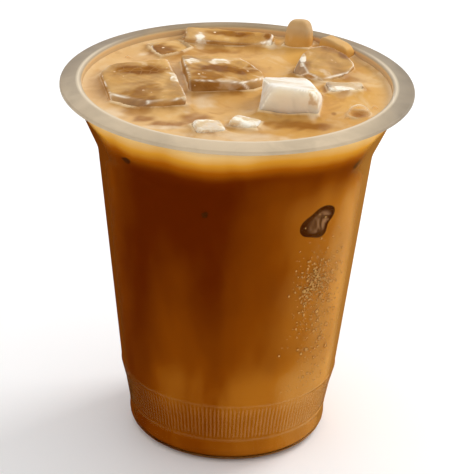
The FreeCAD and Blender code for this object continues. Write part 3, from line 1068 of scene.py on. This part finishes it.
def surface_shape(plan):
    """Height of the coffee's open surface over plan points (..., 2), and how
    near each is to ice, which paints shade there and in the largest bubble's
    dent, to the wall, and to the pale line round the ice and the largest
    bubble, a painted highlight, 0 to 1.

    It is level, with faint waves, and climbs as exp(-gap / reach) at the wall
    and at each lump. Inside a lump's outline it drops to the lump's
    underside, but not through the wall. The largest bubble has a dent in its
    middle and a ridge round it."""
    height = np.full(plan.shape[:-1], LEVEL_Z)
    flat = np.concatenate([plan, np.full(plan.shape[:-1] + (1,), LEVEL_Z)], -1)
    height += sum(rise * waves(flat, length, seed) for rise, length, seed in SURFACE_WAVES)
    pocket = np.full(plan.shape[:-1], LEVEL_Z)
    ice_and_dent_shade = np.zeros(plan.shape[:-1])
    climb = np.zeros(plan.shape[:-1])
    deepest = wall_height(np.linalg.norm(plan, axis=-1) + WALL + POCKET_TO_WALL)
    for name in ICE:
        normals, distance = ice_planes(name)
        local = flat - ice_centre(name)
        gap = np.maximum((local @ normals.T - distance).max(-1), 0)
        climb = np.maximum(climb, np.exp(-gap / ICE_CLIMB_REACH))
        # Painted shade reaching out from each lump.
        ice_and_dent_shade = np.maximum(ice_and_dent_shade, np.exp(-gap / ICE_SHADE_REACH))
        down = normals[:, 2] < -0.05
        room = distance - ICE_BED
        over = (room[down] - local[..., :2] @ normals[down, :2].T) / normals[down, 2]
        under = np.maximum(ice_centre(name)[2] + over.max(-1), deepest)
        inside = (local @ normals.T - room).max(-1) < 0
        pocket = np.where(inside, np.minimum(pocket, under), pocket)
    climb_height = ICE_CLIMB + ICE_CLIMB_VARIES * waves(flat, 8 * MM, 33)
    height += climb_height * MM * climb
    # line: where the painted highlight runs round the ice.
    line = smooth_step(climb, 0.60, 0.85) * smooth_step(climb_height, 0.4, 0.95)
    to_ring = np.linalg.norm(plan - BUBBLES[0, :2] * MM, axis=-1)
    dent = np.exp(-((to_ring / DENT_RADIUS) ** 2))
    ridge = np.exp(-(((to_ring - BUBBLES[0, 2] * MM) / RING_WIDTH) ** 2))
    height += RING_HEIGHT * ridge - DENT_DEPTH * dent
    # The ring's ridge gets the painted highlight too.
    line = np.maximum(line, ridge)
    # Painted shade in the bubble's dent.
    ice_and_dent_shade = np.maximum(ice_and_dent_shade, 2.2 * dent)
    to_wall = SURFACE_RADIUS - np.linalg.norm(plan, axis=-1)
    height += MENISCUS * np.exp(-to_wall / WALL_CLIMB_REACH)
    by_wall = np.exp(-np.maximum(to_wall, 0) / FOAM_REACH)
    height = np.where(pocket < LEVEL_Z - 0.2 * MM, pocket, height)
    return height, {"ice_and_dent_shade": ice_and_dent_shade, "by_wall": by_wall, "line": line}


def make_coffee(settings):
    """The coffee: sides that follow the wall's inner face and reach just
    into it, and an open surface over a grid of rings."""
    inset = WALL - INTO_WALL
    ring_in = FOOT_RADIUS - FOOT_RING_WIDTH
    recess = ring_in - RECESS_RUN
    lift = FLOOR - INTO_WALL
    line = [(0, FOOT_RECESS + lift), (recess, FOOT_RECESS + lift), (ring_in, lift)]
    line += heel_line(inset, lift) + side_line(inset) + [(NECK_RADIUS - inset, LEVEL_Z + MENISCUS)]
    columns = COFFEE_COLUMNS
    side = turned(merged(rounded(line, FOOT_ROUNDS + HEEL_ROUNDS + SIDE_ROUNDS), SECTION_STEP), columns)
    rings = np.linspace(1, 0, SURFACE_RINGS)[1:]
    flat = np.stack([rings * (NECK_RADIUS - inset), np.full(len(rings), LEVEL_Z)], -1)
    top = turned(flat, columns)
    height, near = surface_shape(top[..., :2])
    top[..., 2] = height
    top[-1] = top[-1, 0]
    points, quads, triangles = closed_grid(np.concatenate([side, top]))
    rows = len(quads) // columns
    quad_slots = np.repeat(np.arange(rows) >= len(side) - 2, columns)
    slots = np.concatenate([quad_slots, np.zeros(columns), np.ones(columns)])
    none = np.zeros(side.shape[:2])
    # dark: painted shade; pale: painted highlights and milky patches.
    near["dark"] = patch_share(top, PAINTED_SHADE_PATCHES, DARK_SEED)
    near["pale"] = patch_share(top, MILK_AND_HIGHLIGHT_PATCHES, PALE_SEED)
    marks = {mark: grid_values(np.concatenate([none, values])) for mark, values in near.items()}
    coffee = mesh_object("coffee_fill", points, quads, triangles, slots, **marks)
    coffee.data.materials.append(coffee_side(settings))
    coffee.data.materials.append(coffee_top(settings))
    finished(coffee, "coffee", "coffee")


def domes(places, outward, radii, flatness, rows=5, columns=9):
    """Many small domes in one skin: each is the upper part of a ball of its
    own radius, flattened along the outward normal of its place, closed by
    its underside below the surface."""
    polar = np.linspace(0, np.pi, rows + 1)[:, None]
    angle = np.linspace(0, 2 * np.pi, columns, endpoint=False)[None, :]
    unit = np.stack([
        np.sin(polar) * np.cos(angle),
        np.sin(polar) * np.sin(angle),
        np.broadcast_to(np.cos(polar) * flatness, (rows + 1, columns)),
    ], -1)
    points, quads, triangles = closed_grid(unit[::-1])
    helper = np.where(np.abs(outward[:, 2:]) < 0.9, [[0.0, 0.0, 1.0]], [[1.0, 0.0, 0.0]])
    first = np.cross(helper, outward)
    first /= np.linalg.norm(first, axis=1)[:, None]
    second = np.cross(outward, first)
    basis = np.stack([first, second, outward], 1)
    spread = np.einsum("pk,nkj->npj", points, basis) * radii[:, None, None]
    shift = (np.arange(len(places)) * len(points))[:, None, None]
    placed = (places[:, None] + spread).reshape(-1, 3)
    return placed, (quads[None] + shift).reshape(-1, 4), (triangles[None] + shift).reshape(-1, 3)


def wall_points(angle, height, lift):
    """Points on the cup's outer face and their outward normals. The angle is
    from the front, -Y, towards the right, +X."""
    radius = wall_radius(height) + lift
    step = 0.5 * MM
    slope = (wall_radius(height + step) - wall_radius(height - step)) / (2 * step)
    outward = np.stack([np.sin(angle), -np.cos(angle), -slope], -1)
    outward /= np.linalg.norm(outward, axis=1)[:, None]
    places = np.stack([radius * np.sin(angle), -radius * np.cos(angle), height], -1)
    return places, outward


def make_drops(settings):
    """Condensation: fine drops in a patch at the right, thickest at its top,
    with a few larger drops among and below them. Some follow a narrow bell
    curve and the rest a wide one; a tanh keeps stray angles within the patch,
    and a fourth power makes most of them small."""
    rng = np.random.default_rng(77)
    count = settings.count
    dense = rng.uniform(size=count) < DENSE_SHARE
    angle = np.where(dense, rng.normal(*DENSE_ANGLE, count), rng.normal(*LOOSE_ANGLE, count))
    height = np.where(dense, rng.normal(*DENSE_HEIGHT, count), rng.normal(*LOOSE_HEIGHT, count)) * MM
    height = np.clip(height, SHOULDER_Z + 3 * MM, WAIST_Z - 3 * MM)
    angle = PATCH_ANGLE + PATCH_LIMIT * np.tanh((angle - PATCH_ANGLE) / PATCH_LIMIT)
    radii = settings.largest * (FINE_SIZE + FINE_SIZE_GAIN * rng.uniform(size=count) ** 4)
    big = np.array(BIG_DROPS)
    angle = np.concatenate([angle, big[:, 0]])
    height = np.concatenate([height, big[:, 1] * MM])
    radii = np.concatenate([radii, settings.largest * rng.uniform(*BIG_SIZE, len(big))])
    places, outward = wall_points(angle, height, 0)
    points, quads, triangles = domes(places, outward, radii, DROP_FLATNESS)
    drops = mesh_object("drops", points, quads, triangles)
    drops.data.materials.append(water())
    finished(drops, "cup")


def make_bubbles():
    """Bubbles on the open surface, as domes of film."""
    plan = BUBBLES[:, :2] * MM
    places = np.concatenate([plan, surface_shape(plan)[0][:, None]], -1)
    places[0, 2] = LEVEL_Z
    outward = np.tile([0.0, 0.0, 1.0], (len(plan), 1))
    points, quads, triangles = domes(places, outward, BUBBLES[:, 2] * MM, BUBBLE_FLATNESS, 16, 40)
    bubbles = mesh_object("bubbles", points, quads, triangles)
    bubbles.data.materials.append(bubble_film())
    finished(bubbles, "coffee")


def patch_grid(angle, height, width, tall, seed, rows=16, columns=56):
    """A thin lens against the wall's inner face. In direction a its reach is
    0.78 plus a wave of two crests and one of three, which draw it out to a
    point at the upper right, plus two smaller waves drawn from the seed."""
    rng = np.random.default_rng(seed)
    around = np.linspace(0, 2 * np.pi, columns, endpoint=False)[None, :]
    reach = 0.78 + 0.10 * np.cos(2 * (around - 0.75)) + 0.08 * np.cos(3 * (around - 0.9))
    for crests in (4, 5):
        reach = reach + rng.uniform(0.02, 0.05) * np.cos(crests * around + rng.uniform(0, 2 * np.pi))
    share = np.sin(np.linspace(0, np.pi, rows))[:, None]
    front = np.cos(np.linspace(0, np.pi, rows))[:, None]
    across = share * reach * np.cos(around) * width / 2
    high = height + share * reach * np.sin(around) * tall / 2
    radius = wall_radius(high, WALL - INTO_WALL) - LENS_INSET + LENS_HALF * front
    turn = angle + across / radius
    grid = np.stack([radius * np.sin(turn), -radius * np.cos(turn), high], -1)
    return grid[::-1], np.broadcast_to(1 - share, grid.shape[:2])[::-1]


def make_sunk_ice():
    """Ice and air pockets under the surface that show where they touch the
    wall, one thin lens each."""
    patches = [patch_grid(a, z * MM, w * MM, h * MM, s) for a, z, w, h, s in SUNK_ICE]
    skins = [closed_grid(grid) for grid, _ in patches]
    wide = [w > PALE_INSIDE_WIDTH for _, _, w, _, _ in SUNK_ICE]
    inner = np.concatenate([grid_values(share * big) for (_, share), big in zip(patches, wide)])
    start = np.cumsum([0] + [len(points) for points, _, _ in skins[:-1]])
    points = np.concatenate([skin[0] for skin in skins])
    quads = np.concatenate([skin[1] + first for skin, first in zip(skins, start)])
    triangles = np.concatenate([skin[2] + first for skin, first in zip(skins, start)])
    sunk = mesh_object("sunk_ice", points, quads, triangles, inner=inner)
    sunk.data.materials.append(dark_ice())
    finished(sunk, "coffee")


# === stage ====================================================================

CAMERA_TARGET = Vector((1.3, 0.0, 56.3)) * MM
CAMERA_DISTANCE = 617.5 * MM
CAMERA_ELEVATION = math.radians(25.3)
CAMERA_ROLL = math.radians(1.97)
CAMERA_LENS = 169.8
CAMERA_NEAR = 10 * MM
FLOOR_HALF = 3.0
LAMP_TARGET = (0, 0, 0.06)
KEY_PLACE, KEY_WIDTH = (0.42, 0.30, 0.45), 0.30
REAR_PLACE, REAR_WIDTH = (-0.12, 0.60, 0.36), 0.26


def make_camera():
    """The camera in front of the cup, looking down at it, rolled a little."""
    camera = bpy.data.objects.new("camera", bpy.data.cameras.new("camera"))
    bpy.context.scene.collection.objects.link(camera)
    back = Vector((0, -math.cos(CAMERA_ELEVATION), math.sin(CAMERA_ELEVATION)))
    camera.rotation_mode = "QUATERNION"
    camera.location = CAMERA_TARGET + back * CAMERA_DISTANCE
    level = back.to_track_quat("Z", "Y").to_matrix()
    camera.rotation_quaternion = (level @ Matrix.Rotation(CAMERA_ROLL, 3, "Z")).to_quaternion()
    camera.data.lens = CAMERA_LENS
    camera.data.clip_start = CAMERA_NEAR
    bpy.context.scene.camera = camera


def make_lamp(name, place, width, power):
    """A square soft lamp at place that faces the cup."""
    lamp = bpy.data.objects.new(name, bpy.data.lights.new(name, "AREA"))
    lamp.data.size = width
    lamp.data.energy = power
    lamp.location = place
    aim = Vector(place) - Vector(LAMP_TARGET)
    lamp.rotation_mode = "QUATERNION"
    lamp.rotation_quaternion = aim.to_track_quat("Z", "Y")
    bpy.context.scene.collection.objects.link(lamp)


def make_stage(settings):
    """Pale floor, even light, a key lamp behind to the right, and a lamp
    behind that glances off the ice."""
    corners = np.array([(-1, -1, 0), (1, -1, 0), (1, 1, 0), (-1, 1, 0)]) * FLOOR_HALF
    floor = mesh_object("floor", corners, np.array([[0, 1, 2, 3]]))
    floor.data.materials.append(pale_floor(settings))
    world = bpy.data.worlds.new("soft_light")
    world.use_nodes = True
    sky = world.node_tree.nodes["Background"]
    sky.inputs["Color"].default_value = (1, 1, 1, 1)
    sky.inputs["Strength"].default_value = settings.world
    bpy.context.scene.world = world
    make_lamp("key", KEY_PLACE, KEY_WIDTH, settings.key)
    make_lamp("rear", REAR_PLACE, REAR_WIDTH, settings.rear)
    bpy.context.scene.view_settings.view_transform = "Standard"
    make_camera()


# === operators ================================================================

class MakeCup(bpy.types.Operator):
    """Build the clear plastic cup"""

    bl_idname = "iced_coffee.cup"
    bl_label = "Cup"

    def execute(self, context):
        make_cup(context.scene.iced_cup)
        return {"FINISHED"}


class MakeCoffee(bpy.types.Operator):
    """Build the coffee and the bubbles on it"""

    bl_idname = "iced_coffee.coffee"
    bl_label = "Coffee"

    def execute(self, context):
        make_coffee(context.scene.iced_liquid)
        make_bubbles()
        return {"FINISHED"}


class MakeIce(bpy.types.Operator):
    """Build the lumps of ice and the ice that shows through the wall"""

    bl_idname = "iced_coffee.ice"
    bl_label = "Ice"

    def execute(self, context):
        make_ice(context.scene.iced_liquid, context.scene.iced_ice)
        make_sunk_ice()
        return {"FINISHED"}


class MakeDrops(bpy.types.Operator):
    """Build the condensation on the cup"""

    bl_idname = "iced_coffee.drops"
    bl_label = "Condensation"

    def execute(self, context):
        make_drops(context.scene.iced_drops)
        return {"FINISHED"}


class MakeStage(bpy.types.Operator):
    """Set the floor, the lights and the camera"""

    bl_idname = "iced_coffee.stage"
    bl_label = "Stage"

    def execute(self, context):
        make_stage(context.scene.iced_stage)
        return {"FINISHED"}


class IcedCoffeePanel(bpy.types.Panel):
    """Lists the pieces and their settings"""

    bl_idname = "VIEW3D_PT_iced_coffee"
    bl_label = "Iced coffee"
    bl_space_type = "VIEW_3D"
    bl_region_type = "UI"
    bl_category = "Iced coffee"

    def draw(self, context):
        for attribute, operator in PANEL_ROWS:
            box = self.layout.box()
            group = getattr(context.scene, attribute)
            for name in group.bl_rna.properties.keys():
                if name not in ("rna_type", "name"):
                    box.prop(group, name)
            box.operator(operator.bl_idname)


GROUPS = {
    "iced_cup": CupSettings,
    "iced_liquid": CoffeeSettings,
    "iced_ice": IceSettings,
    "iced_drops": DropSettings,
    "iced_stage": StageSettings,
}
PANEL_ROWS = [
    ("iced_cup", MakeCup),
    ("iced_liquid", MakeCoffee),
    ("iced_ice", MakeIce),
    ("iced_drops", MakeDrops),
    ("iced_stage", MakeStage),
]
CLASSES = [*GROUPS.values(), *(operator for _, operator in PANEL_ROWS), IcedCoffeePanel]


def register():
    for each in CLASSES:
        bpy.utils.register_class(each)
    for attribute, group in GROUPS.items():
        setattr(bpy.types.Scene, attribute, PointerProperty(type=group))


def unregister():
    for attribute in GROUPS:
        delattr(bpy.types.Scene, attribute)
    for each in reversed(CLASSES):
        bpy.utils.unregister_class(each)


def main():
    """Builds everything in order."""
    register()
    bpy.ops.iced_coffee.stage()
    bpy.ops.iced_coffee.coffee()
    bpy.ops.iced_coffee.ice()
    bpy.ops.iced_coffee.cup()
    bpy.ops.iced_coffee.drops()


if __name__ == "__main__":
    main()
